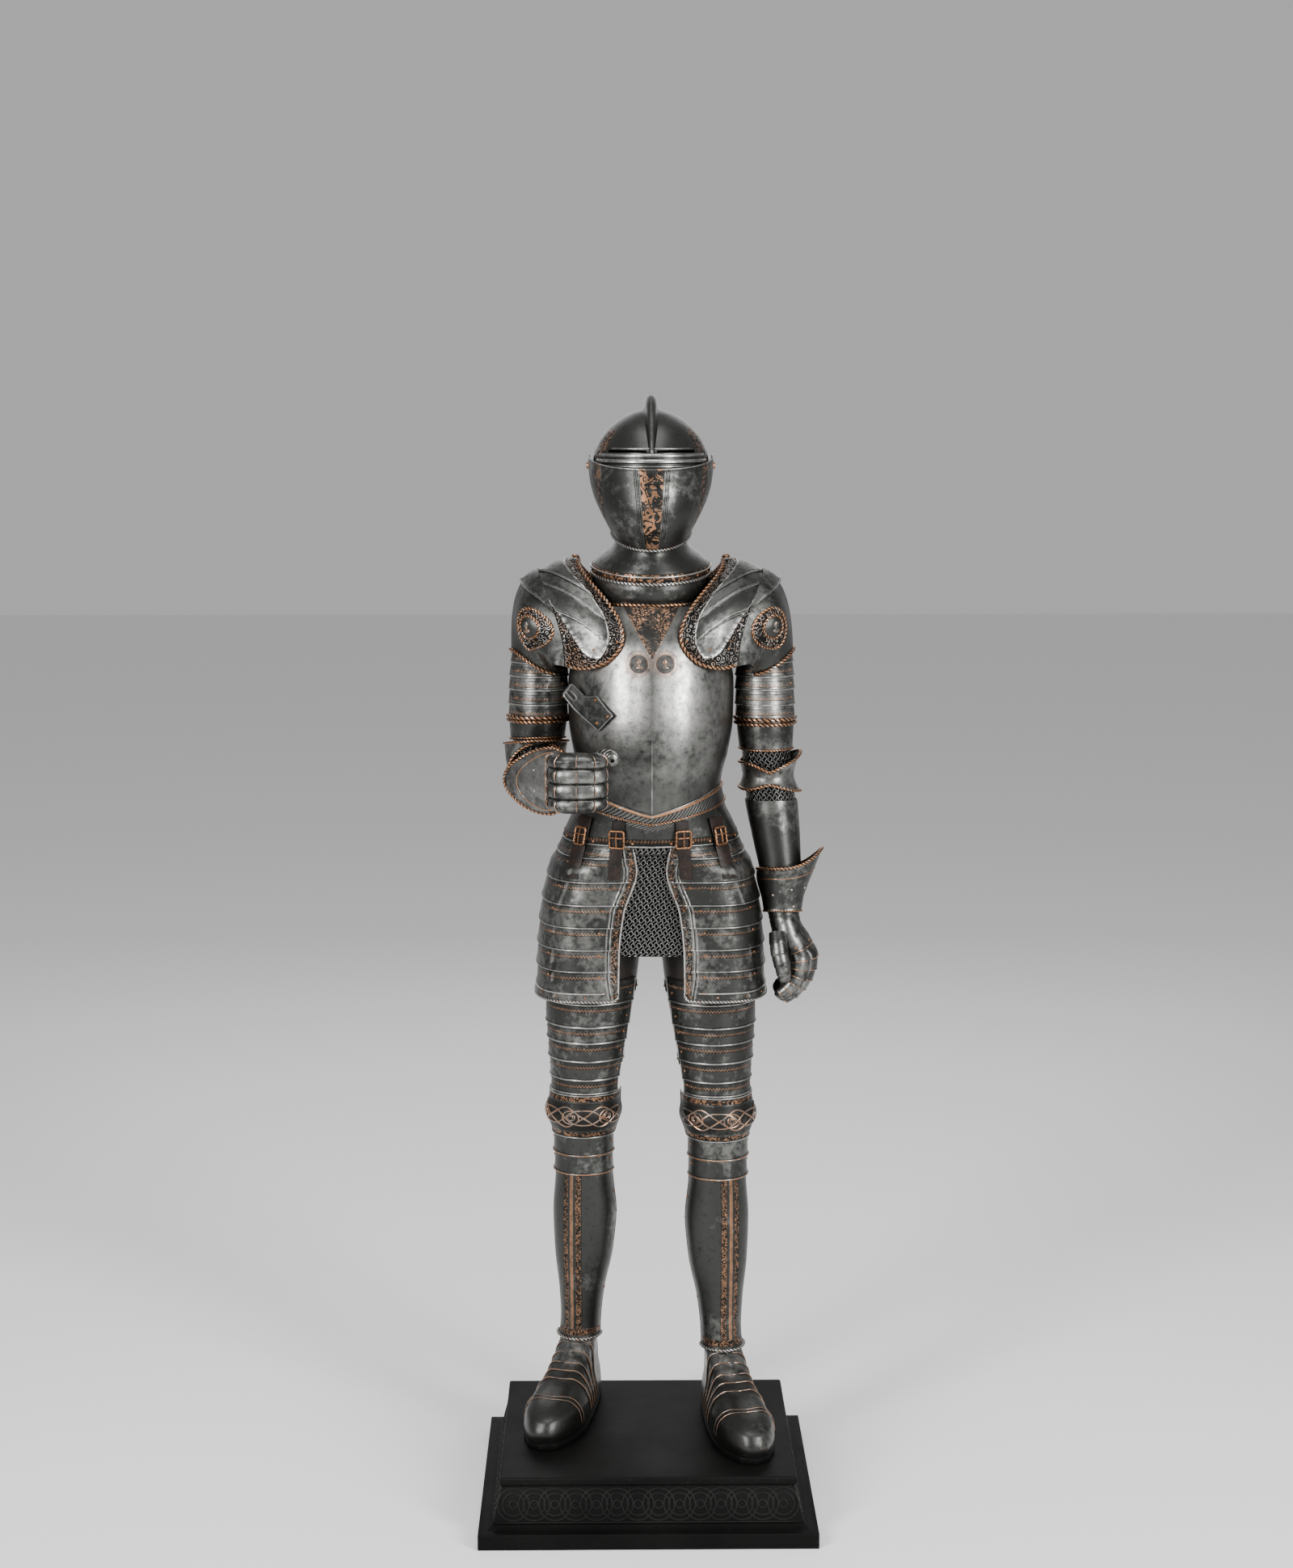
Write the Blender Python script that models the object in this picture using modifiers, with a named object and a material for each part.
"""Life-size suit of plate armour, hollow and in its worn pose, standing on a low plinth.

Metres, +Z up, the suit facing -Y. The origin is the centre of the plinth's underside.
Left and right are the wearer's: left is +X. SIDES holds +1 for left and -1 for right.
Most plates are sheets lofted through sections. A section is read from a short table by its height
above the plinth's top, and an angle runs round it from the front towards +X, or towards the
outer side on a limb.
"""
import math

import bmesh
import bpy
from mathutils import Matrix, Vector

# Driving sizes
PLINTH_TOP = 0.112
MIDDLE_X = 0.008
BODY_Y = 0.075
PLATE = 0.002
LEATHER = 0.0025
MAIL = 0.0025
SEAM = 0.0005
SEAT = 0.0006
LAME_STEP = 0.0015
STEP_HEIGHT = 0.0004
SIDES = {"left": 1, "right": -1}

# Plinth, each level a rectangle: height, half width, half depth
FOOT_LEVELS = ((0.0, 0.286, 0.256), (0.027, 0.286, 0.256), (0.0285, 0.272, 0.242), (0.035, 0.262, 0.232))
FRIEZE_LEVELS = ((0.0353, 0.262, 0.232), (0.0973, 0.2435, 0.2135))
SLAB_LEVELS = ((0.0976, 0.2485, 0.2185), (0.0995, 0.250, 0.220), (0.1095, 0.250, 0.220),
               (PLINTH_TOP, 0.2475, 0.2175))

# Body plates: height, half width, depth in front, depth behind
TORSO = ((1.449, 0.100, 0.090, 0.092), (1.420, 0.128, 0.110, 0.108), (1.380, 0.139, 0.130, 0.118),
         (1.320, 0.141, 0.145, 0.122), (1.250, 0.140, 0.151, 0.118), (1.194, 0.132, 0.150, 0.108),
         (1.140, 0.120, 0.145, 0.098), (1.100, 0.128, 0.140, 0.104), (1.075, 0.140, 0.137, 0.110),
         (1.046, 0.152, 0.134, 0.118), (1.000, 0.160, 0.130, 0.120))
TORSO_POWER = 2.3
TORSO_STATIONS = 24
KEEL = 0.005
KEEL_SPREAD = 30.0
WAIST_Z = 1.140
WAIST_DROP = 0.040
# Breastplate rows: height at the sides, drop at the middle, half angle that the row covers
BREAST_ROWS = ((1.449, 0.0, 52.0), (1.420, 0.0, 45.0), (1.380, 0.0, 55.0), (1.320, 0.0, 82.0),
               (1.250, 0.008, 89.8), (1.194, 0.022, 89.8), (WAIST_Z, WAIST_DROP, 89.8))
# Backplate rows: height, angle from the front where the row starts
BACK_ROWS = ((1.449, 128.0), (1.420, 132.0), (1.380, 118.0), (1.320, 98.0), (1.250, 90.2), (1.194, 90.2),
             (WAIST_Z, 90.2))
BREAST_COLUMNS = 12
BACK_COLUMNS = 12
# Fauld rows: height at the sides, drop at the middle, how far the row stands out
FAULD_ROWS = ((WAIST_Z - SEAM, WAIST_DROP, 0.0), (1.112, 0.026, LAME_STEP),
              (1.112 - STEP_HEIGHT, 0.026, 0.0), (1.098, 0.016, 0.0), (1.075, 0.008, 0.0), (1.046, 0.0, LAME_STEP))

# Collar and throat: height, drop in front, half width, depth in front, depth behind
COLLAR = ((1.501, 0.016, 0.0975, 0.1070, 0.0940), (1.486, 0.010, 0.1000, 0.1080, 0.0960),
          (1.466, 0.004, 0.1000, 0.1030, 0.0970))
COLLAR_FOOT = 1.4495
THROAT = ((1.5615, 0.014, 0.0575, 0.0980, 0.0880), (1.548, 0.014, 0.0640, 0.1000, 0.0900),
          (1.530, 0.015, 0.0860, 0.1070, 0.0930), (1.513, 0.016, 0.1020, 0.1120, 0.0960),
          (1.5015, 0.016, 0.1000, 0.1095, 0.0965))
NECK_STATIONS = 20

# Helmet: height, half width, depth in front, depth behind
SKULL = ((1.774, 0.018, 0.024, 0.024), (1.762, 0.048, 0.056, 0.058), (1.745, 0.070, 0.083, 0.086),
         (1.727, 0.0845, 0.100, 0.104), (1.709, 0.0935, 0.112, 0.116), (1.7045, 0.0950, 0.115, 0.118),
         (1.6815, 0.0985, 0.1165, 0.124), (1.655, 0.0965, 0.1165, 0.122), (1.620, 0.0830, 0.1100, 0.106),
         (1.590, 0.0680, 0.1050, 0.094), (1.562, 0.0575, 0.1000, 0.088))
SIGHT_ROW = 4
BROW_ROW = 6
SKULL_STATIONS = 24
NAPE_START = 5
# Visor: height at the side, height in front, half width, depth in front, half angle it covers
VISOR = ((1.700, 1.678, 0.1055, 0.131, 100.0), (1.682, 1.664, 0.1060, 0.135, 102.0),
         (1.660, 1.638, 0.1040, 0.142, 102.0), (1.638, 1.610, 0.0985, 0.145, 100.0),
         (1.612, 1.580, 0.0868, 0.136, 94.0), (1.590, 1.557, 0.0748, 0.122, 88.0),
         (1.576, 1.542, 0.0672, 0.111, 84.0))
VISOR_COLUMNS = 14
PIVOT_Y = 0.085
PIVOT_Z = 1.680
BOLT_R = 0.007
BOLT_LENGTH = 0.004
# Comb, by height on the skull: how tall it is in front, how tall behind, half width of its foot
COMB = ((1.7045, 0.002, 0.003, 0.0050), (1.727, 0.006, 0.008, 0.0075), (1.745, 0.011, 0.013, 0.0095),
        (1.762, 0.017, 0.019, 0.0115), (1.774, 0.022, 0.023, 0.0130), (1.777, 0.024, 0.024, 0.0130))
COMB_SEAT = 0.0009
COMB_SHAPE = ((-1.0, 0.0), (-0.55, 0.45), (-0.30, 1.0), (0.30, 1.0), (0.55, 0.45), (1.0, 0.0))

# Legs: height, centre out from the middle, half width, depth in front, depth behind
LEG = ((0.930, 0.092, 0.0700, 0.076, 0.074), (0.900, 0.094, 0.0798, 0.080, 0.083),
       (0.838, 0.099, 0.0800, 0.083, 0.090), (0.800, 0.102, 0.0790, 0.081, 0.088),
       (0.757, 0.105, 0.0755, 0.077, 0.083), (0.660, 0.111, 0.0640, 0.068, 0.071),
       (0.592, 0.115, 0.0565, 0.060, 0.058), (0.552, 0.118, 0.0580, 0.064, 0.050),
       (0.511, 0.118, 0.0505, 0.056, 0.048), (0.442, 0.118, 0.0480, 0.050, 0.056),
       (0.365, 0.117, 0.0535, 0.049, 0.064), (0.290, 0.119, 0.0490, 0.046, 0.058),
       (0.215, 0.123, 0.0375, 0.041, 0.043), (0.160, 0.125, 0.0335, 0.039, 0.036),
       (0.1295, 0.127, 0.0335, 0.040, 0.036))
LEG_STATIONS = 16
HIP_Y = 0.085
HIP_Z = 0.850
ANKLE_Y = {"left": 0.060, "right": 0.120}
# Ankle of the hose, where it goes into the foot: height, how far it draws in
HOSE_ANKLE = ((0.160, 0.0), (0.142, -0.0030), (0.122, -0.0075))
CUISSE_TOP = 0.800
CUISSE_LAMES = (0.715, 0.686, 0.652, 0.617)
KNEE_TOP = 0.592
KNEE_BOTTOM = 0.511
KNEE_LAME_EDGE = 0.477
GREAVE_TOP = 0.442
GREAVE_BOTTOM = 0.130
CUISSE_FROM, CUISSE_TO = -67.5, 112.5
SHIN_FROM, SHIN_TO = -90.0, 112.5

# Feet: height, heel end, toe end, share of the full width
FOOT_SLICES = ((0.0123, 0.004, 0.322, 1.00), (0.028, 0.000, 0.325, 1.04), (0.048, 0.003, 0.316, 1.00),
               (0.064, 0.008, 0.285, 0.90), (0.080, 0.016, 0.222, 0.84), (0.100, 0.028, 0.174, 0.84))
# Half width of the foot: place from the heel, half width
FOOT_WIDTH = ((0.0, 0.030), (0.040, 0.036), (0.085, 0.038), (0.160, 0.045), (0.220, 0.053), (0.270, 0.056),
              (0.330, 0.050))
FOOT_POWER = 2.5
ANKLE_FROM_HEEL = 0.085
TOE_OUT = {"left": 12.0, "right": 16.0}
SOLE_LIP = 0.003
SOLE_TOP = 0.012

# Hips: height, half width, depth in front, depth behind
SKIRT = ((1.030, 0.1490, 0.114, 0.108), (0.950, 0.1690, 0.106, 0.116), (0.900, 0.1780, 0.104, 0.122),
         (0.851, 0.1850, 0.101, 0.126))
SKIRT_POWER = 2.5
SKIRT_TOP = 1.060
# Tassets: height, centre out from the middle, half width, depth in front, inner edge from the middle
TASSET = ((1.0455, 0.075, 0.0840, 0.130, 0.024), (0.995, 0.082, 0.0920, 0.127, 0.027),
          (0.930, 0.092, 0.0955, 0.124, 0.048), (0.860, 0.101, 0.0930, 0.119, 0.056),
          (0.773, 0.108, 0.0890, 0.114, 0.058))
TASSET_POWER = 2.6
TASSET_LAMES = (1.024, 0.983, 0.943, 0.904, 0.865, 0.827)
TASSET_BLEND = 0.040
TASSET_COLUMNS = 8
TASSET_TO = 118.0

# Arms: height, out from the middle, depth place, half width, half depth, tilt of the section
ARM = {
    "left": ((1.372, 0.196, 0.085, 0.0440, 0.046, 0.0), (1.330, 0.196, 0.085, 0.0470, 0.049, 0.0),
             (1.290, 0.1965, 0.085, 0.0480, 0.050, 0.0), (1.240, 0.1975, 0.084, 0.0480, 0.050, 0.0),
             (1.195, 0.199, 0.083, 0.0450, 0.047, 0.0), (1.150, 0.203, 0.081, 0.0440, 0.046, 0.0),
             (1.108, 0.208, 0.077, 0.0455, 0.045, 3.0), (1.050, 0.216, 0.069, 0.0420, 0.041, 6.0),
             (0.990, 0.2235, 0.058, 0.0360, 0.035, 9.0), (0.940, 0.2275, 0.048, 0.0310, 0.029, 10.0),
             (0.915, 0.2275, 0.044, 0.0300, 0.027, 10.0)),
    "right": ((1.372, 0.190, 0.085, 0.0440, 0.046, 0.0), (1.330, 0.192, 0.085, 0.0470, 0.049, 0.0),
              (1.290, 0.193, 0.086, 0.0480, 0.050, 0.0), (1.245, 0.194, 0.089, 0.0480, 0.050, 0.0),
              (1.212, 0.195, 0.093, 0.0460, 0.047, 6.0), (1.168, 0.196, 0.088, 0.0450, 0.049, 45.0),
              (1.155, 0.189, 0.052, 0.0450, 0.044, 82.0), (1.153, 0.180, 0.015, 0.0430, 0.042, 86.0),
              (1.156, 0.168, -0.035, 0.0380, 0.037, 88.0), (1.163, 0.154, -0.090, 0.0330, 0.032, 88.0),
              (1.170, 0.143, -0.132, 0.0295, 0.0285, 88.0)),
}
ARM_YAW = {"left": 0.0, "right": 14.0}
ARM_STATIONS = 12
UPPER_ROWS = 5
LAMES_IN_UPPER_ARM = ((0, 1), (1, 2), (2, 3), (3, 4))
COUTER_ROW = 5
FOREARM_ROW = 6
# Couter: how far its lower edge and its upper edge stand along the arm, and out, by angle from the front
COUTER = {
    "left": ((0.0, 0.012, 0.010, 0.006), (60.0, 0.026, 0.032, 0.010), (100.0, 0.030, 0.042, 0.013),
             (140.0, 0.030, 0.034, 0.007), (180.0, 0.034, 0.034, 0.006), (260.0, 0.020, 0.024, 0.006),
             (310.0, 0.022, 0.026, 0.010), (360.0, 0.012, 0.010, 0.006)),
}
CUFF_FLARE = 0.020
CUFF_POINT = 0.034
CUFF_WING = 0.018

# Shoulders, each arch of the pauldron from the top to its front end:
# top x, top z, upper point x y z, lower point x y z, front end x y z
PAULDRON = ((0.121, 1.520, 0.099, 0.012, 1.482, 0.052, -0.0396, 1.420, 0.083, -0.0501, 1.354),
            (0.138, 1.523, 0.117, 0.004, 1.486, 0.078, -0.0447, 1.422, 0.100, -0.0473, 1.347),
            (0.163, 1.518, 0.147, 0.008, 1.484, 0.116, -0.036, 1.424, 0.121, -0.0360, 1.343),
            (0.190, 1.505, 0.179, 0.018, 1.474, 0.156, -0.018, 1.418, 0.146, -0.0200, 1.348))
SHOULDER_Y = 0.085
# Cap over the upper arm: share from its top to its front edge, middle out, depth place and height
CAP_MIDDLE = ((0.0, 0.2300, 0.085, 1.4620), (0.5, 0.2220, 0.021, 1.4290), (1.0, 0.1700, -0.004, 1.3480))
CAP_STEPS = 4
CAP_SEAM = 0.0014
CAP_ARC = 120.0
CAP_COLUMNS = 8
CAP_LOW = {"outer": 1.366, "inner": 1.328}

# Right hand, closed round a pole: its axis and sizes
GRIP_X, GRIP_Y, GRIP_Z = -0.108, -0.192, 1.180
FINGERS = 4
FINGER_LOBE = 0.0060
# Angle from the front towards the outer side, distance from the grip's axis, half height
FIST = ((140.0, 0.0675, 0.0300), (130.0, 0.0640, 0.0380), (112.0, 0.0600, 0.0460), (90.0, 0.0560, 0.0490),
        (68.0, 0.0555, 0.0500), (48.0, 0.0560, 0.0500), (26.0, 0.0490, 0.0500), (0.0, 0.0445, 0.0500),
        (-26.0, 0.0460, 0.0490), (-46.0, 0.0470, 0.0490), (-68.0, 0.0420, 0.0480), (-96.0, 0.0370, 0.0460),
        (-122.0, 0.0320, 0.0430))
# How far the fist's rows draw in, from its top and bottom edge inwards
FIST_PINCH = (0.0150, 0.0045)
# Left hand, hanging: out from the middle, height, half width across the fingers, thickness
HANGING_HAND = ((0.2290, 0.9070, 0.0300, 0.022), (0.2350, 0.885, 0.0368, 0.025), (0.2455, 0.860, 0.0418, 0.029),
                (0.2530, 0.838, 0.0430, 0.029), (0.2510, 0.818, 0.0420, 0.026), (0.2430, 0.800, 0.0400, 0.023),
                (0.2300, 0.785, 0.0370, 0.020), (0.2130, 0.774, 0.0330, 0.015))
HAND_Y = 0.040
HAND_COLUMNS = 12
# Thumbs: place x y z and radius, from root to tip
THUMB = {
    "left": ((0.2230, -0.0043, 0.888, 0.014), (0.2260, -0.0173, 0.860, 0.0145), (0.2325, -0.0233, 0.830, 0.013),
             (0.2365, -0.0233, 0.806, 0.009)),
    "right": ((-0.0835, -0.136, 1.206, 0.013), (-0.0695, -0.153, 1.212, 0.0135),
              (-0.0600, -0.173, 1.214, 0.0125), (-0.0580, -0.190, 1.212, 0.009)),
}
THUMB_STATIONS = 8

# Tasset straps: name, side, out from the middle at the top and at the tip
STRAPS = (("inner_left", "left", 0.050, 0.058), ("outer_left", "left", 0.108, 0.132),
          ("inner_right", "right", 0.056, 0.064), ("outer_right", "right", 0.112, 0.136))
STRAP_HALF = 0.011
STRAP_CLEAR = 0.0021
# Heights down a strap
STRAP_Z = (1.092, 1.070, 1.047, 1.020, 0.990)
BUCKLE_Z = 1.060
BUCKLE_HALF = (0.016, 0.014)
BUCKLE_BAR = 0.0035
BUCKLE_LIFT = 0.0007

# Lance rest on the breastplate's right side, flat on it at its middle: outline as x and height
REST_MIDDLE = (-0.085, 1.272)
REST_OUTLINE = ((-0.056, 1.270), (-0.080, 1.242), (-0.108, 1.262), (-0.124, 1.276), (-0.142, 1.298),
                (-0.128, 1.318), (-0.106, 1.300), (-0.082, 1.302))
REST_THICK = 0.003
REST_CLEAR = 0.0004


def blend(low, high, share):
    """Return the value a share of the way from low to high."""
    return low + (high - low) * share


def read_table(table, key):
    """Return a table's other columns at a key, on straight lines between its rows."""
    rows = sorted(table)
    key = min(max(key, rows[0][0]), rows[-1][0])
    for low, high in zip(rows, rows[1:]):
        if key <= high[0]:
            share = (key - low[0]) / (high[0] - low[0])
            return [blend(a, b, share) for a, b in zip(low[1:], high[1:])]
    return list(rows[-1][1:])


def heights(table, top, bottom):
    """Return the heights from top to bottom, with every table row between them."""
    inside = [row[0] for row in table if bottom + 0.001 < row[0] < top - 0.001]
    return [top] + sorted(inside, reverse=True) + [bottom]


def power(value, exponent):
    """Return a signed power, for the squared curves of a section."""
    return math.copysign(abs(value) ** (2.0 / exponent), value)


def section_point(centre, half, front, behind, angle, exponent=2.0):
    """Return x and y on a section, the angle in degrees from the front towards +X."""
    turn = math.radians(angle)
    depth = front if math.cos(turn) > 0.0 else behind
    return (centre[0] + half * power(math.sin(turn), exponent),
            centre[1] - depth * power(math.cos(turn), exponent))


def even(start, end, steps):
    """Return evenly spaced values, both ends included."""
    return [blend(start, end, i / steps) for i in range(steps + 1)]


def colour_of(name, colour, metallic, roughness):
    """Return a Principled material, made once."""
    material = bpy.data.materials.get(name)
    if material is None:
        material = bpy.data.materials.new(name)
        material.use_nodes = True
        shader = material.node_tree.nodes["Principled BSDF"]
        shader.inputs["Base Color"].default_value = (*colour, 1.0)
        shader.inputs["Metallic"].default_value = metallic
        shader.inputs["Roughness"].default_value = roughness
    return material


def steel():
    return colour_of("antique_steel", (0.30, 0.30, 0.30), 1.0, 0.35)


def mail_rings():
    return colour_of("mail", (0.10, 0.10, 0.10), 1.0, 0.45)


def hose_cloth():
    return colour_of("arming_hose", (0.035, 0.030, 0.028), 0.0, 0.45)


def leather():
    return colour_of("strap_leather", (0.05, 0.025, 0.015), 0.0, 0.6)


def copper():
    return colour_of("copper", (0.50, 0.25, 0.12), 1.0, 0.4)


def black_finish():
    return colour_of("plinth_black", (0.02, 0.02, 0.02), 0.0, 0.6)


def finish(name, bm, material, lift=True):
    """Turn a bmesh into a named object, raised onto the plinth's top unless told not to."""
    if lift:
        bmesh.ops.translate(bm, verts=bm.verts, vec=(0.0, 0.0, PLINTH_TOP))
    mesh = bpy.data.meshes.new(name)
    bm.to_mesh(mesh)
    bm.free()
    mesh.shade_smooth()
    mesh.set_sharp_from_angle(angle=math.radians(40.0))
    mesh.materials.append(material)
    obj = bpy.data.objects.new(name, mesh)
    bpy.data.collections["plate_armour"].objects.link(obj)
    return obj


def grid_cells(rows, closed, skip):
    """List a grid's cells as their corner numbers."""
    columns = len(rows[0])
    last = columns if closed else columns - 1
    cells = []
    for i in range(len(rows) - 1):
        for j in range(last):
            if skip is not None and skip(i, j):
                continue
            k = (j + 1) % columns
            cells.append((i * columns + j, i * columns + k, (i + 1) * columns + k, (i + 1) * columns + j))
    return cells


def faces_out(rows, cells):
    """Tell whether a grid's cells turn their front away from the middle of their rows."""
    columns = len(rows[0])
    points = [Vector(point) for row in rows for point in row]
    middles = [sum((Vector(p) for p in row), Vector()) / columns for row in rows]
    total = 0.0
    for a, b, c, d in cells:
        normal = (points[c] - points[a]).cross(points[d] - points[b])
        middle = (middles[a // columns] + middles[c // columns]) / 2.0
        total += normal.dot((points[a] + points[c]) / 2.0 - middle)
    return total > 0.0


def halves(cells):
    """Split each cell along the same diagonal, so that nested plates share their facets."""
    triangles = []
    for a, b, c, d in cells:
        triangles += [(a, b, c), (a, c, d)]
    return triangles


def sheet(name, rows, wall, material, closed=False, skip=None):
    """Make an even sheet through rows of points, its thickness laid inward by Solidify."""
    cells = grid_cells(rows, closed, skip)
    if not faces_out(rows, cells):
        cells = [cell[::-1] for cell in cells]
    bm = bmesh.new()
    verts = [bm.verts.new(point) for row in rows for point in row]
    for triangle in halves(cells):
        bm.faces.new([verts[i] for i in triangle])
    bmesh.ops.delete(bm, geom=[v for v in bm.verts if not v.link_faces], context="VERTS")
    obj = finish(name, bm, material)
    solidify = obj.modifiers.new("wall", "SOLIDIFY")
    solidify.thickness = wall
    solidify.offset = -1.0
    return obj


def relief_sheet(name, outer, inner, material, closed=False, skip=None):
    """Make a wall between an outer grid that has relief and a plain inner grid."""
    cells = grid_cells(outer, closed, skip)
    if not faces_out(outer, cells):
        cells = [cell[::-1] for cell in cells]
    bm = bmesh.new()
    out = [bm.verts.new(point) for row in outer for point in row]
    back = [bm.verts.new(point) for row in inner for point in row]
    edges = {(cell[n], cell[(n + 1) % 4]) for cell in cells for n in range(4)}
    for triangle in halves(cells):
        bm.faces.new([out[i] for i in triangle])
        bm.faces.new([back[i] for i in reversed(triangle)])
    for a, b in sorted(edges):
        if (b, a) not in edges:
            bm.faces.new([out[b], out[a], back[a], back[b]])
    bmesh.ops.delete(bm, geom=[v for v in bm.verts if not v.link_faces], context="VERTS")
    return finish(name, bm, material)


def stack(name, rings, material, lift=True):
    """Make a closed solid through rings of points, lowest first, with flat ends."""
    columns = len(rings[0])
    bm = bmesh.new()
    verts = [[bm.verts.new(point) for point in ring] for ring in rings]
    for low, high in zip(verts, verts[1:]):
        for j in range(columns):
            k = (j + 1) % columns
            bm.faces.new([low[j], low[k], high[k], high[j]])
    bm.faces.new(verts[0][::-1])
    bm.faces.new(verts[-1])
    bmesh.ops.recalc_face_normals(bm, faces=bm.faces)
    return finish(name, bm, material, lift)


def lame_rows(top, edges, bottom, table):
    """Return rows down a plate of lames: height, and how far the row stands out.

    Each lame starts flush and stands out by LAME_STEP at its lower edge, over the next one.
    """
    stops = [top] + list(edges) + [bottom]
    rows = []
    for high, low in zip(stops, stops[1:]):
        inside = [row[0] for row in table if low + 0.004 < row[0] < high - 0.004]
        for z in [high - (0.0 if high == top else STEP_HEIGHT)] + sorted(inside, reverse=True) + [low]:
            rows.append((z, LAME_STEP * (high - z) / (high - low)))
    return rows


def make_plinth():
    """The foot with its moulding, the sloping frieze and the slab the suit stands on."""
    levels = {"plinth_foot": FOOT_LEVELS, "plinth_frieze": FRIEZE_LEVELS, "plinth_slab": SLAB_LEVELS}
    for name, rows in levels.items():
        rings = [[(x * a, y * b, z) for a, b in ((-1, -1), (1, -1), (1, 1), (-1, 1))] for z, x, y in rows]
        stack(name, rings, black_finish(), lift=False)


def leg_point(side, z, angle, grow):
    """Return a point on a leg, the angle from the front towards the outer side."""
    sign = SIDES[side]
    out, half, front, behind = read_table(LEG, z)
    share = min(max((HIP_Z - z) / (HIP_Z - LEG[-1][0]), 0.0), 1.0)
    y = blend(HIP_Y, ANKLE_Y[side], share)
    x, y = section_point((0.0, y), half + grow, front + grow, behind + grow, angle)
    return (MIDDLE_X + sign * (out + x), y, z)


def leg_rows(side, rows, angles, grow):
    """Return a grid on a leg through rows of height and standing out."""
    return [[leg_point(side, z, angle, grow + out) for angle in angles] for z, out in rows]


def leg_plate(name, side, rows, start, end):
    """Make one plate of a leg over the hose, with relief outside and a plain inside."""
    step = 360.0 / LEG_STATIONS
    angles = even(start, end, round((end - start) / step))
    outer = leg_rows(side, rows, angles, SEAT + PLATE)
    inner = leg_rows(side, [(z, 0.0) for z, _ in rows], angles, SEAT)
    return relief_sheet(f"{name}_{side}", outer, inner, steel())


def make_leg(side):
    """One leg: hose, cuisse, poleyn, the two knee lames and the greave."""
    ring = even(0.0, 360.0, LEG_STATIONS)[:-1]
    hose = [(z, 0.0) for z in heights(LEG, LEG[0][0], HOSE_ANKLE[0][0])] + list(HOSE_ANKLE[1:])
    sheet(f"arming_hose_{side}", leg_rows(side, hose, ring, 0.0), LEATHER, hose_cloth(), closed=True)
    rows = lame_rows(CUISSE_TOP, CUISSE_LAMES, KNEE_TOP, LEG)
    leg_plate("cuisse", side, rows, CUISSE_FROM, CUISSE_TO)
    middle = (KNEE_TOP + KNEE_BOTTOM) / 2.0
    poleyn = ((KNEE_TOP - SEAM, 0.0025), (middle + 0.018, 0.0030), (middle, 0.0055),
              (middle - 0.022, 0.0035), (KNEE_BOTTOM, 0.0020))
    leg_plate("poleyn", side, poleyn, SHIN_FROM, SHIN_TO)
    rows = lame_rows(KNEE_BOTTOM - SEAM, (KNEE_LAME_EDGE,), GREAVE_TOP, LEG)
    leg_plate("knee_lames", side, rows, SHIN_FROM, SHIN_TO)
    greave = [(z, 0.0) for z in heights(LEG, GREAVE_TOP - SEAM, GREAVE_BOTTOM)]
    leg_plate("greave", side, greave, SHIN_FROM, SHIN_TO)


def foot_point(side, place, across, z):
    """Return a point of a foot, from its place along the foot and across it."""
    sign = SIDES[side]
    turn = math.radians(TOE_OUT[side])
    out = read_table(LEG, LEG[-1][0])[0]
    forward = place - ANKLE_FROM_HEEL
    x = out + forward * math.sin(turn) + across * math.cos(turn)
    y = ANKLE_Y[side] - forward * math.cos(turn) + across * math.sin(turn)
    return (MIDDLE_X + sign * x, y, z)


def foot_ring(side, z, heel, toe, share, lip=0.0):
    """Return one slice of a foot, starting at the toe."""
    ring = []
    for angle in even(0.0, 360.0, LEG_STATIONS)[:-1]:
        turn = math.radians(angle)
        place = (heel + toe) / 2.0 + ((toe - heel) / 2.0 + lip) * math.cos(turn)
        half = read_table(FOOT_WIDTH, place)[0] * share + lip
        ring.append(foot_point(side, place, half * power(math.sin(turn), FOOT_POWER), z))
    return ring


def make_foot(side):
    """One foot: the sabaton, open at the ankle and over the sole, and the sole under it."""
    slices = [foot_ring(side, *row) for row in FOOT_SLICES]
    ring = even(0.0, 360.0, LEG_STATIONS)[:-1]
    ankle = [leg_point(side, LEG[-1][0], angle, 0.0) for angle in ring]
    sheet(f"sabaton_{side}", slices + [ankle], PLATE, steel(), closed=True)
    z, heel, toe, share = FOOT_SLICES[0]
    rings = [foot_ring(side, height, heel, toe, share, SOLE_LIP) for height in (0.0003, SOLE_TOP)]
    if side == "right":
        rings = [ring[::-1] for ring in rings]
    stack(f"sole_{side}", rings, hose_cloth())


def torso_point(z, angle, grow=0.0):
    """Return a point on the body plates, with the keel down the front."""
    half, front, behind = read_table(TORSO, z)
    bend = abs((angle + 180.0) % 360.0 - 180.0)
    front += KEEL * max(0.0, 1.0 - bend / KEEL_SPREAD)
    x, y = section_point((MIDDLE_X, BODY_Y), half + grow, front + grow, behind + grow, angle, TORSO_POWER)
    return (x, y, z)


def dropped(z, drop, angle):
    """Return a row's height at an angle, lower towards the middle of the front."""
    front = math.cos(math.radians(angle)) > 0.0
    return z - drop * (1.0 - abs(math.sin(math.radians(angle)))) if front else z


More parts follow.
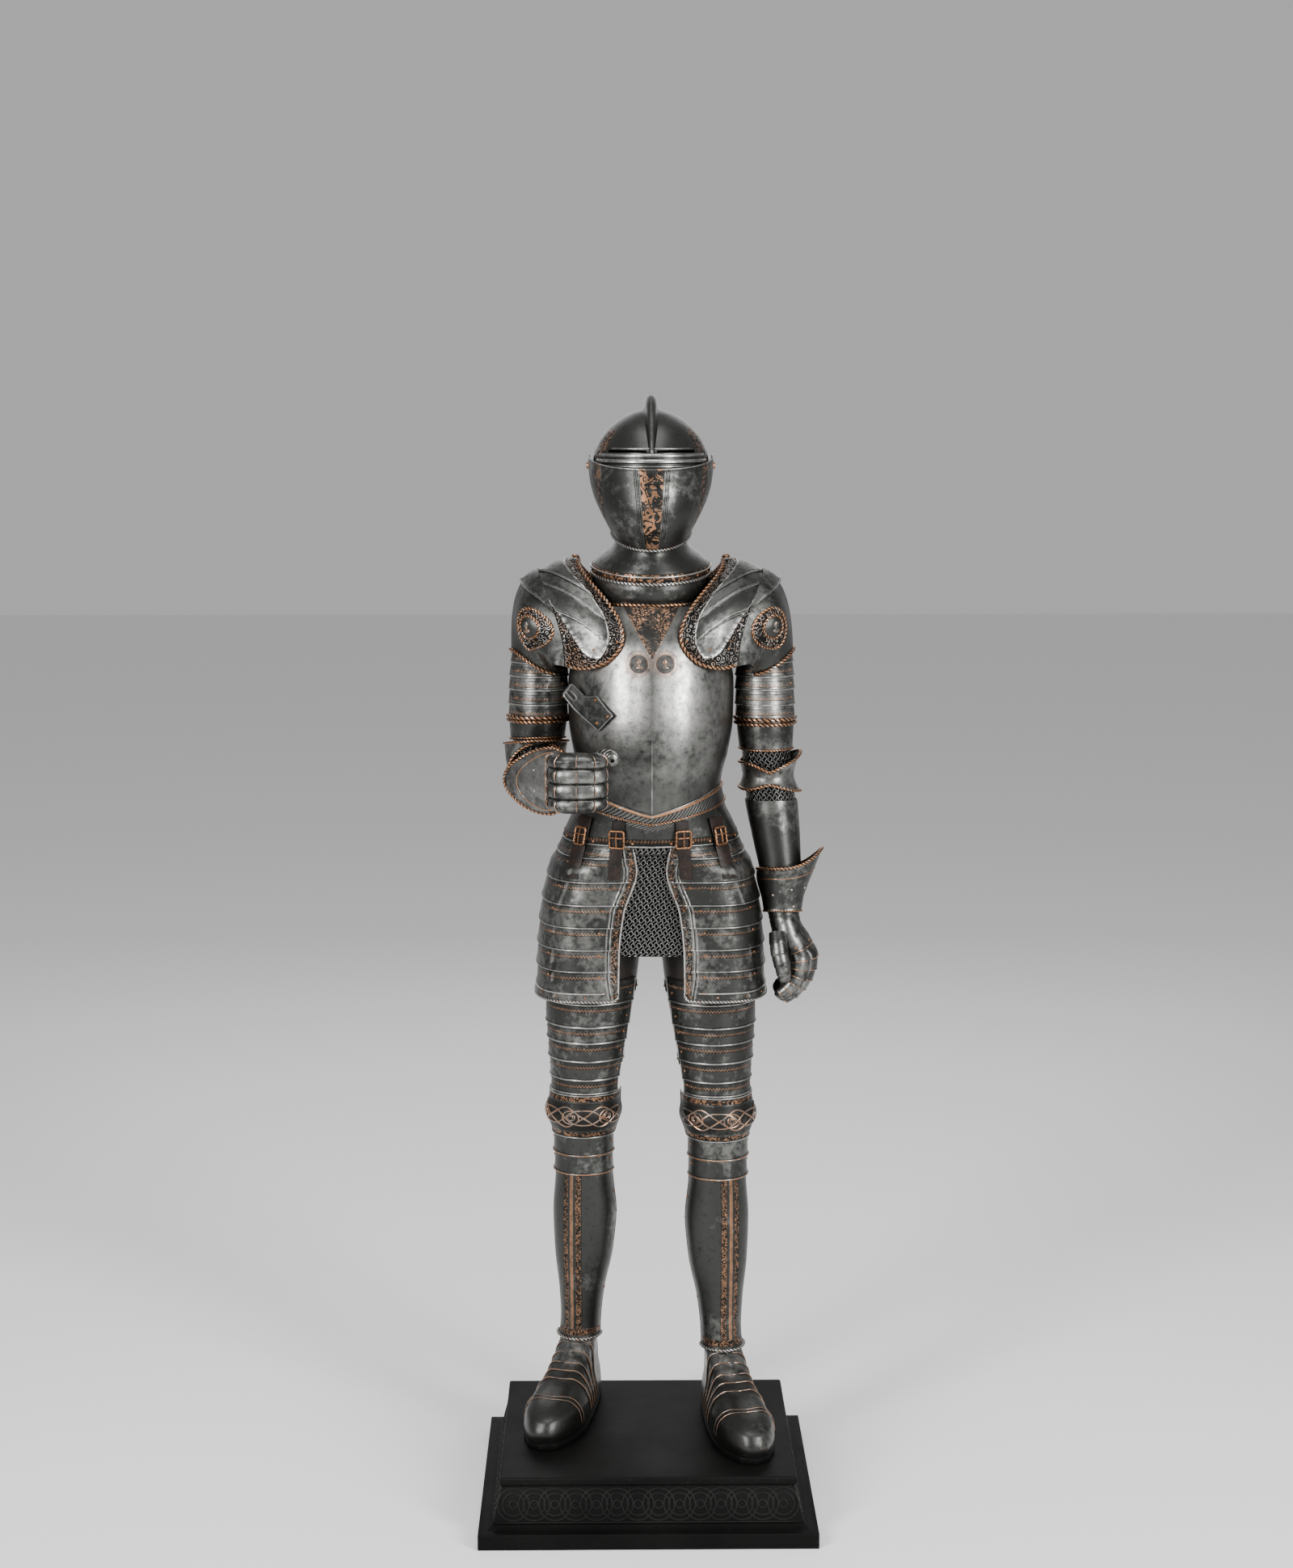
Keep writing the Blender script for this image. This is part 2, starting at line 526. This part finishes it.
def make_body():
    """Breastplate, backplate and the fauld below them."""
    rows = [[torso_point(dropped(z, drop, a), a) for a in even(-span, span, BREAST_COLUMNS)]
            for z, drop, span in BREAST_ROWS]
    sheet("breastplate", rows, PLATE, steel())
    rows = [[torso_point(z, a) for a in even(start, 360.0 - start, BACK_COLUMNS)] for z, start in BACK_ROWS]
    sheet("backplate", rows, PLATE, steel())
    ring = even(0.0, 360.0, TORSO_STATIONS)[:-1]
    outer = [[torso_point(dropped(z, drop, a), a, out) for a in ring] for z, drop, out in FAULD_ROWS]
    inner = [[torso_point(dropped(z, drop, a), a, -PLATE) for a in ring] for z, drop, _ in FAULD_ROWS]
    relief_sheet("fauld", outer, inner, steel(), closed=True)


def make_neck():
    """The bulging collar and the helmet's throat plate with its flared rim."""
    ring = even(0.0, 360.0, NECK_STATIONS)[:-1]
    for name, table in (("collar", COLLAR), ("throat_plate", THROAT)):
        rows = []
        for z, drop, half, front, behind in table:
            flat = [section_point((MIDDLE_X, BODY_Y), half, front, behind, a) for a in ring]
            rows.append([(x, y, z - drop * max(0.0, math.cos(math.radians(a))))
                         for a, (x, y) in zip(ring, flat)])
        if name == "collar":
            rows.append([torso_point(COLLAR_FOOT, a) for a in ring])
        sheet(name, rows, PLATE, steel(), closed=True)


def make_skull():
    """The helmet's skull: dome, sights and brow in front, cheeks and nape behind."""
    ring = even(0.0, 360.0, SKULL_STATIONS)[:-1]
    rows = []
    for z, half, front, behind in SKULL:
        flat = [section_point((MIDDLE_X, BODY_Y), half, front, behind, a) for a in ring]
        rows.append([(x, y, z) for x, y in flat])
    top = [(blend(MIDDLE_X, x, 0.15), blend(BODY_Y, y, 0.15), 1.777) for x, y, _ in rows[0]]
    rows.insert(0, top)
    last = SKULL_STATIONS - 1

    def left_out(i, j):
        sight = i == SIGHT_ROW + 1 and (j in (0, 1, 2) or j in (last, last - 1, last - 2)) and j not in (0, last)
        face = i > BROW_ROW and (j < NAPE_START or j > last - NAPE_START)
        return sight or face

    sheet("helmet_skull", rows, PLATE, steel(), closed=True, skip=left_out)


def make_comb():
    """The raised comb along the middle of the skull, seated on it."""
    peak = 0.15 * SKULL[0][2]
    levels = []
    for z, front_tall, rear_tall, half in COMB:
        depths = read_table(SKULL, z)[1:] if z < SKULL[0][0] + 0.001 else [peak, peak]
        levels.append((z, depths[0], front_tall, depths[1], rear_tall, half))
    line = [(BODY_Y - front, z, tall, half) for z, front, tall, _, _, half in levels]
    line += [(BODY_Y + behind, z, tall, half) for z, _, _, behind, tall, half in reversed(levels)]
    rings = []
    for y, z, tall, half in line:
        away = Vector((0.0, (y - BODY_Y) / 0.118 ** 2, (z - PIVOT_Z) / 0.097 ** 2)).normalized()
        foot = Vector((MIDDLE_X, y, z)) + away * COMB_SEAT
        rings.append([tuple(foot + Vector((share * half, 0.0, 0.0)) + away * (tall * rise))
                      for share, rise in COMB_SHAPE])
    stack("helmet_comb", rings, steel())


def make_visor():
    """The visor from ear to ear, and the bolts it turns on."""
    rows = []
    for side_z, front_z, half, front, span in VISOR:
        row = []
        for angle in even(-span, span, VISOR_COLUMNS):
            rise = 1.0 - max(0.0, math.cos(math.radians(angle))) ** 0.8
            x, y = section_point((MIDDLE_X, BODY_Y), half, front, 0.115, angle)
            row.append((x, y, blend(front_z, side_z, rise)))
        rows.append(row)
    sheet("visor", rows, PLATE, steel())
    for side, sign in SIDES.items():
        outer = VISOR[1][2] - 0.0006
        disc(f"visor_bolt_{side}", sign, outer, outer + BOLT_LENGTH, BOLT_R, copper())
        disc(f"visor_washer_{side}", sign, SKULL[BROW_ROW][1] + 0.0002, VISOR[1][2] - PLATE - 0.0022,
             BOLT_R * 0.8, leather())


def disc(name, sign, inner, outer, radius, material):
    """Make a round piece on the visor's axis, between two distances from the middle."""
    bm = bmesh.new()
    bmesh.ops.create_cone(bm, cap_ends=True, segments=12, radius1=radius, radius2=radius * 0.8,
                          depth=outer - inner)
    bmesh.ops.rotate(bm, verts=bm.verts, cent=(0.0, 0.0, 0.0), matrix=turned(90.0 * sign))
    x = MIDDLE_X + sign * (inner + outer) / 2.0
    bmesh.ops.translate(bm, verts=bm.verts, vec=(x, PIVOT_Y, PIVOT_Z))
    finish(name, bm, material)


def turned(angle):
    """Return a turn about the Y axis."""
    return Matrix.Rotation(math.radians(angle), 3, "Y")


def skirt_ring(z, grow=0.0):
    """Return one ring of the mail skirt: under the fauld at the top, then free."""
    ring = []
    for angle in even(0.0, 360.0, TORSO_STATIONS)[:-1]:
        if z > SKIRT[0][0]:
            ring.append(torso_point(z, angle, grow - PLATE - SEAT))
        else:
            half, front, behind = read_table(SKIRT, z)
            x, y = section_point((MIDDLE_X, BODY_Y), half + grow, front + grow, behind + grow, angle,
                                 SKIRT_POWER)
            ring.append((x, y, z))
    return ring


def make_skirt():
    """The mail skirt, from inside the fauld to its hem above the knees."""
    rows = [skirt_ring(z) for z in (SKIRT_TOP, 1.0462, 1.030, 0.950, 0.900, 0.851)]
    sheet("mail_skirt", rows, MAIL, mail_rings(), closed=True)


def tasset_point(side, z, share, grow):
    """Return a point on a tasset, the share of the way from its inner edge to its rear edge."""
    sign = SIDES[side]
    out, half, front, inner = read_table(TASSET, z)
    start = math.degrees(math.asin(power_root((inner - out) / half, TASSET_POWER)))
    angle = blend(start, TASSET_TO, share)
    x, y = section_point((out, BODY_Y), half + grow, front + grow, 0.105 + grow, angle, TASSET_POWER)
    hung = torso_point(1.046, blend(9.0, 100.0, share), grow + 0.0004)
    keep = min(max((TASSET[0][0] - z) / TASSET_BLEND, 0.0), 1.0)
    return (MIDDLE_X + sign * blend(hung[0] - MIDDLE_X, x, keep), blend(hung[1], y, keep), z)


def power_root(value, exponent):
    """Return the sine whose squared curve gives a value."""
    return math.copysign(abs(value) ** (exponent / 2.0), value)


def make_tassets():
    """The two tassets of seven lames that hang from the fauld."""
    for side in SIDES:
        rows = lame_rows(TASSET[0][0], TASSET_LAMES, TASSET[-1][0], ())
        shares = even(0.0, 1.0, TASSET_COLUMNS)
        outer = [[tasset_point(side, z, share, out) for share in shares] for z, out in rows]
        inner = [[tasset_point(side, z, share, -PLATE) for share in shares] for z, _ in rows]
        relief_sheet(f"tasset_{side}", outer, inner, steel())


def arm_frame(side, row):
    """Return an arm section's centre, its sideways, forward and along directions, and its half sizes."""
    sign = SIDES[side]
    z, out, y, half, deep, tilt = row
    lean, yaw = math.radians(tilt), math.radians(ARM_YAW[side])
    sideways = Vector((sign * math.cos(yaw), -math.sin(yaw), 0.0)) if yaw else Vector((sign, 0.0, 0.0))
    ahead = Vector((-sign * math.sin(yaw), -math.cos(yaw), 0.0))
    forward = ahead * math.cos(lean) + Vector((0.0, 0.0, 1.0)) * math.sin(lean)
    along = ahead * math.sin(lean) - Vector((0.0, 0.0, 1.0)) * math.cos(lean)
    return Vector((MIDDLE_X + sign * out, y, z)), sideways, forward, along, half, deep


def arm_point(side, row, angle, grow=0.0, shift=0.0):
    """Return a point on an arm's section, the angle from the front towards the outer side."""
    centre, sideways, forward, along, half, deep = arm_frame(side, row)
    turn = math.radians(angle)
    point = centre + sideways * ((half + grow) * math.sin(turn)) + forward * ((deep + grow) * math.cos(turn))
    return tuple(point + along * shift)


def between(first, second, share):
    """Return a table row a share of the way between two rows."""
    return tuple(blend(a, b, share) for a, b in zip(first, second))


def arm_ring(side, row, grow=0.0):
    return [arm_point(side, row, angle, grow) for angle in even(0.0, 360.0, ARM_STATIONS)[:-1]]


def make_arm(side):
    """One arm: mail sleeve, upper lames, couter and the forearm's tube."""
    table = ARM[side]
    sleeve = [arm_ring(side, row, -PLATE - SEAT) for row in table[:8]]
    sheet(f"mail_sleeve_{side}", sleeve, MAIL, mail_rings(), closed=True)
    outer, inner = [], []
    for first, second in zip(table[:UPPER_ROWS], table[1:UPPER_ROWS]):
        for share, out in ((0.02, 0.0), (1.0, LAME_STEP)):
            row = between(first, second, share)
            outer.append(arm_ring(side, row, out))
            inner.append(arm_ring(side, row, -PLATE))
    relief_sheet(f"rerebrace_{side}", outer, inner, steel(), closed=True)
    vambrace = [arm_ring(side, row) for row in table[FOREARM_ROW:]]
    sheet(f"vambrace_{side}", vambrace, PLATE, steel(), closed=True)


def make_couter_left():
    """The hanging arm's couter: a narrow band in front, a wing on the outer side, a cup behind."""
    row = ARM["left"][COUTER_ROW]
    rows = [[], [], []]
    for angle in even(0.0, 360.0, ARM_STATIONS)[:-1]:
        low, high, out = read_table(COUTER["left"], angle)
        rows[0].append(arm_point("left", row, angle, out, -high))
        rows[1].append(arm_point("left", row, angle, 0.0, 0.0))
        rows[2].append(arm_point("left", row, angle, out, low))
    sheet("couter_left", rows, PLATE, steel(), closed=True)


def make_couter_right():
    """The bent arm's couter: a cup round the elbow that opens at both ends."""
    table = ARM["right"]
    before, middle, after = table[COUTER_ROW - 1], table[COUTER_ROW], table[COUTER_ROW + 1]
    rows = []
    for row, grow in ((between(before, middle, 0.12), 0.006), (between(before, middle, 0.55), 0.004),
                      (middle, 0.0), (between(middle, after, 0.5), 0.006),
                      (between(middle, after, 0.93), 0.009)):
        rows.append([])
        for angle in even(0.0, 360.0, ARM_STATIONS)[:-1]:
            back = max(0.0, -math.cos(math.radians(angle)))
            side = max(0.0, math.sin(math.radians(angle)))
            rows[-1].append(arm_point("right", row, angle, grow + 0.006 * back + 0.004 * side))
    sheet("couter_right", rows, PLATE, steel(), closed=True)


def make_cuff(side):
    """The gauntlet's cuff, flared towards the elbow with a point on its outer side."""
    table = ARM[side]
    wrist, fore = table[-1], table[-2]
    open_row = table[-3]
    rows = []
    for row, grow, point in ((wrist, SEAT + PLATE, 0.0), (fore, 0.0055, 0.0), (open_row, CUFF_FLARE, 1.0)):
        rows.append([])
        for angle in even(0.0, 360.0, ARM_STATIONS)[:-1]:
            outer = max(0.0, math.sin(math.radians(angle)))
            inner = max(0.0, -math.sin(math.radians(angle)))
            flare = grow - (grow - 0.004) * inner * point + CUFF_WING * outer ** 2 * point
            rows[-1].append(arm_point(side, row, angle, flare, -CUFF_POINT * outer ** 2 * point))
    sheet(f"gauntlet_cuff_{side}", rows, PLATE, steel(), closed=True)


def lobe(share):
    """Return how far the fingers stand out at a share of the way across the four of them."""
    return FINGER_LOBE * abs(math.sin(math.pi * FINGERS * share))


def make_fist():
    """The closed hand: four rows of finger plates bent round an open grip."""
    steps = FINGERS * 4
    outer, inner = [], []
    for number in range(steps + 1):
        share = number / steps
        edge = min(number, steps - number)
        pinch = FIST_PINCH[edge] if edge < len(FIST_PINCH) else 0.0
        rows = ([], [])
        for angle, reach, half in FIST:
            turn = math.radians(angle)
            z = GRIP_Z + (share * 2.0 - 1.0) * half
            relief = lobe(share) - 0.5 * FINGER_LOBE
            for row, distance in ((rows[0], reach - pinch + relief),
                                  (rows[1], reach - pinch - 0.5 * FINGER_LOBE - PLATE)):
                row.append((GRIP_X - distance * math.sin(turn), GRIP_Y - distance * math.cos(turn), z))
        outer.append(rows[0])
        inner.append(rows[1])
    relief_sheet("gauntlet_hand_right", outer, inner, steel())


def make_hanging_hand():
    """The hanging hand: plates over the back of the hand and four curled fingers, open at the palm."""
    outer, inner = [], []
    for number, (out, z, half, thick) in enumerate(HANGING_HAND):
        before = HANGING_HAND[max(number - 1, 0)]
        after = HANGING_HAND[min(number + 1, len(HANGING_HAND) - 1)]
        along = Vector((after[0] - before[0], 0.0, after[1] - before[1])).normalized()
        back = Vector((-along.z, 0.0, along.x))
        rows = ([], [])
        for share in even(0.0, 1.0, HAND_COLUMNS):
            turn = math.radians(blend(-115.0, 115.0, share))
            relief = lobe(share) if number > 2 else 0.0
            for row, extra in ((rows[0], PLATE + relief), (rows[1], 0.0)):
                depth = (thick + extra) * math.cos(turn)
                across = (half + extra) * math.sin(turn)
                point = Vector((MIDDLE_X + out, HAND_Y, z)) + back * depth
                row.append((point.x, point.y + across, point.z))
        outer.append(rows[0])
        inner.append(rows[1])
    relief_sheet("gauntlet_hand_left", outer, inner, steel())


def make_thumb(side):
    """A thumb's plates: a tapered tube, open at the root, with a rounded tip."""
    points = [Vector(row[:3]) for row in THUMB[side]]
    rows = []
    for i, row in enumerate(THUMB[side]):
        along = (points[min(i + 1, len(points) - 1)] - points[max(i - 1, 0)]).normalized()
        across = along.cross(Vector((0.3, 0.2, 0.9)).cross(along)).normalized()
        other = along.cross(across)
        ring = []
        for angle in even(0.0, 360.0, THUMB_STATIONS)[:-1]:
            turn = math.radians(angle)
            ring.append(tuple(points[i] + (across * math.cos(turn) + other * math.sin(turn)) * row[3]))
        rows.append(ring)
    sheet(f"gauntlet_thumb_{side}", rows, PLATE, steel(), closed=True)


def curve_through(top, middle, end, share):
    """Return the point at a share along a curve that passes through three points."""
    guide = middle * 2.0 - (top + end) / 2.0
    return top * (1.0 - share) ** 2 + guide * 2.0 * share * (1.0 - share) + end * share ** 2


def cubic_through(points, share):
    """Return the point at a share along the cubic that passes evenly through four points."""
    total = Vector()
    for i, point in enumerate(points):
        weight = 1.0
        for j in range(4):
            if j != i:
                weight *= (share * 3.0 - j) / (i - j)
        total += point * weight
    return total


def pauldron_point(side, place, across):
    """Return a point of a pauldron: place along its arches, across from front (-1) to back (1)."""
    sign = SIDES[side]
    number = min(int(place), len(PAULDRON) - 2)
    row = [blend(a, b, place - number) for a, b in zip(PAULDRON[number], PAULDRON[number + 1])]
    top = Vector((row[0], SHOULDER_Y, row[1]))
    guides = (top, Vector(row[2:5]), Vector(row[5:8]), Vector(row[8:11]))
    point = cubic_through(guides, abs(across))
    y = point.y if across < 0.0 else 2.0 * SHOULDER_Y - point.y - 0.004 * across
    return (MIDDLE_X + sign * point.x, y, point.z)


def make_pauldron(side):
    """One pauldron: the plates over the shoulder, from chest to back."""
    rows = [[pauldron_point(side, place, across) for across in even(-1.0, 1.0, 12)]
            for place in (0.0, 0.5, 1.0, 2.0, 3.0)]
    sheet(f"pauldron_{side}", rows, PLATE, steel())


def make_cap(side):
    """The cap between a pauldron and the upper arm."""
    sign = SIDES[side]
    columns = []
    for across in even(-1.0, 1.0, CAP_COLUMNS):
        edge = Vector(pauldron_point(side, 3.0, across))
        start = edge + (edge - Vector(pauldron_point(side, 2.8, across))).normalized() * CAP_SEAM
        out, y, z = read_table(CAP_MIDDLE, abs(across))
        y = y if across < 0.0 else 2.0 * SHOULDER_Y - y
        middle = Vector((MIDDLE_X + sign * out, y, z))
        rise = (1.0 + math.cos(math.radians(across * 180.0))) / 2.0
        row = read_arm(side, blend(CAP_LOW["inner"], CAP_LOW["outer"], rise))
        end = Vector(arm_point(side, row, 90.0 + CAP_ARC * across, SEAT + PLATE + LAME_STEP))
        columns.append([tuple(curve_through(start, middle, end, share))
                        for share in even(0.0, 1.0, CAP_STEPS)])
    sheet(f"shoulder_cap_{side}", [list(row) for row in zip(*columns)], PLATE, steel())


def read_arm(side, z):
    """Return a row of the arm's table at a height of the upper arm."""
    table = ARM[side]
    for first, second in zip(table, table[1:]):
        if z >= second[0]:
            return between(first, second, (first[0] - z) / (first[0] - second[0]))
    return table[-1]


def front_point(side, z, out, grow):
    """Return the point of the fauld or the tasset that lies a distance out from the middle."""
    low, high = 0.0, 0.75
    above = z > TASSET[0][0]
    for _ in range(24):
        middle = (low + high) / 2.0
        place = torso_point(z, 120.0 * middle, grow) if above else tasset_point("left", z, middle, grow)
        low, high = (middle, high) if place[0] - MIDDLE_X < out else (low, middle)
    return Vector((MIDDLE_X + SIDES[side] * (place[0] - MIDDLE_X), place[1], z))


def make_straps():
    """The leather straps that hold the tassets, each with its open buckle frame."""
    for name, side, top_out, tip_out in STRAPS:
        outer, inner = [], []
        for z in STRAP_Z:
            out = blend(top_out, tip_out, (STRAP_Z[0] - z) / (STRAP_Z[0] - STRAP_Z[-1]))
            for rows, grow in ((outer, STRAP_CLEAR + LEATHER), (inner, STRAP_CLEAR)):
                rows.append([front_point(side, z, out + shift, grow)
                             for shift in (-STRAP_HALF, 0.0, STRAP_HALF)])
        relief_sheet(f"strap_{name}", outer, inner, leather())
        make_buckle(name, outer)


def make_buckle(name, rows):
    """An open rectangular buckle frame lying on its strap."""
    centre = rows[1][1].lerp(rows[2][1], (STRAP_Z[1] - BUCKLE_Z) / (STRAP_Z[1] - STRAP_Z[2]))
    up = (rows[1][1] - rows[2][1]).normalized()
    across = (rows[1][2] - rows[1][0]).normalized()
    across = (across - up * across.dot(up)).normalized()
    normal = across.cross(up)
    normal = normal if normal.y < 0.0 else -normal
    low = centre + normal * BUCKLE_LIFT
    wide, tall = BUCKLE_HALF
    loops = []
    for inset, lift in ((0.0, 0.0), (0.0, BUCKLE_BAR), (BUCKLE_BAR, BUCKLE_BAR), (BUCKLE_BAR, 0.0)):
        loops.append([low + across * (a * (wide - inset)) + up * (b * (tall - inset)) + normal * lift
                      for a, b in ((-1, -1), (1, -1), (1, 1), (-1, 1))])
    bm = bmesh.new()
    verts = [[bm.verts.new(point) for point in loop] for loop in loops]
    for n in range(4):
        first, second = verts[n], verts[(n + 1) % 4]
        for j in range(4):
            k = (j + 1) % 4
            bm.faces.new([first[j], first[k], second[k], second[j]])
    bmesh.ops.recalc_face_normals(bm, faces=bm.faces)
    finish(f"buckle_{name}", bm, copper())


def make_lance_rest():
    """The lance rest: a square plate set on its corner, with an arm out to the side."""
    x, z = REST_MIDDLE
    centre = front_point("right", z, MIDDLE_X - x, REST_CLEAR)
    beside = front_point("right", z, MIDDLE_X - x + 0.010, REST_CLEAR) - centre
    below = front_point("right", z - 0.015, MIDDLE_X - x, REST_CLEAR) - centre
    normal = beside.cross(below).normalized()
    if normal.y > 0.0:
        normal = -normal
    rings = []
    for lift in (REST_THICK, 0.0):
        ring = []
        for x_place, z_place in REST_OUTLINE:
            dx, dz = x_place - x, z_place - z
            dy = -(normal.x * dx + normal.z * dz) / normal.y
            ring.append(tuple(centre + Vector((dx, dy, dz)) + normal * lift))
        rings.append(ring)
    stack("lance_rest", rings, steel())


def main():
    for obj in list(bpy.data.objects):
        bpy.data.objects.remove(obj, do_unlink=True)
    collection = bpy.data.collections.new("plate_armour")
    bpy.context.scene.collection.children.link(collection)
    make_plinth()
    make_body()
    make_neck()
    make_skull()
    make_comb()
    make_visor()
    make_skirt()
    make_tassets()
    make_straps()
    make_lance_rest()
    for side in SIDES:
        make_leg(side)
        make_foot(side)
        make_arm(side)
        make_cuff(side)
        make_thumb(side)
        make_pauldron(side)
        make_cap(side)
    make_couter_left()
    make_couter_right()
    make_fist()
    make_hanging_hand()


main()
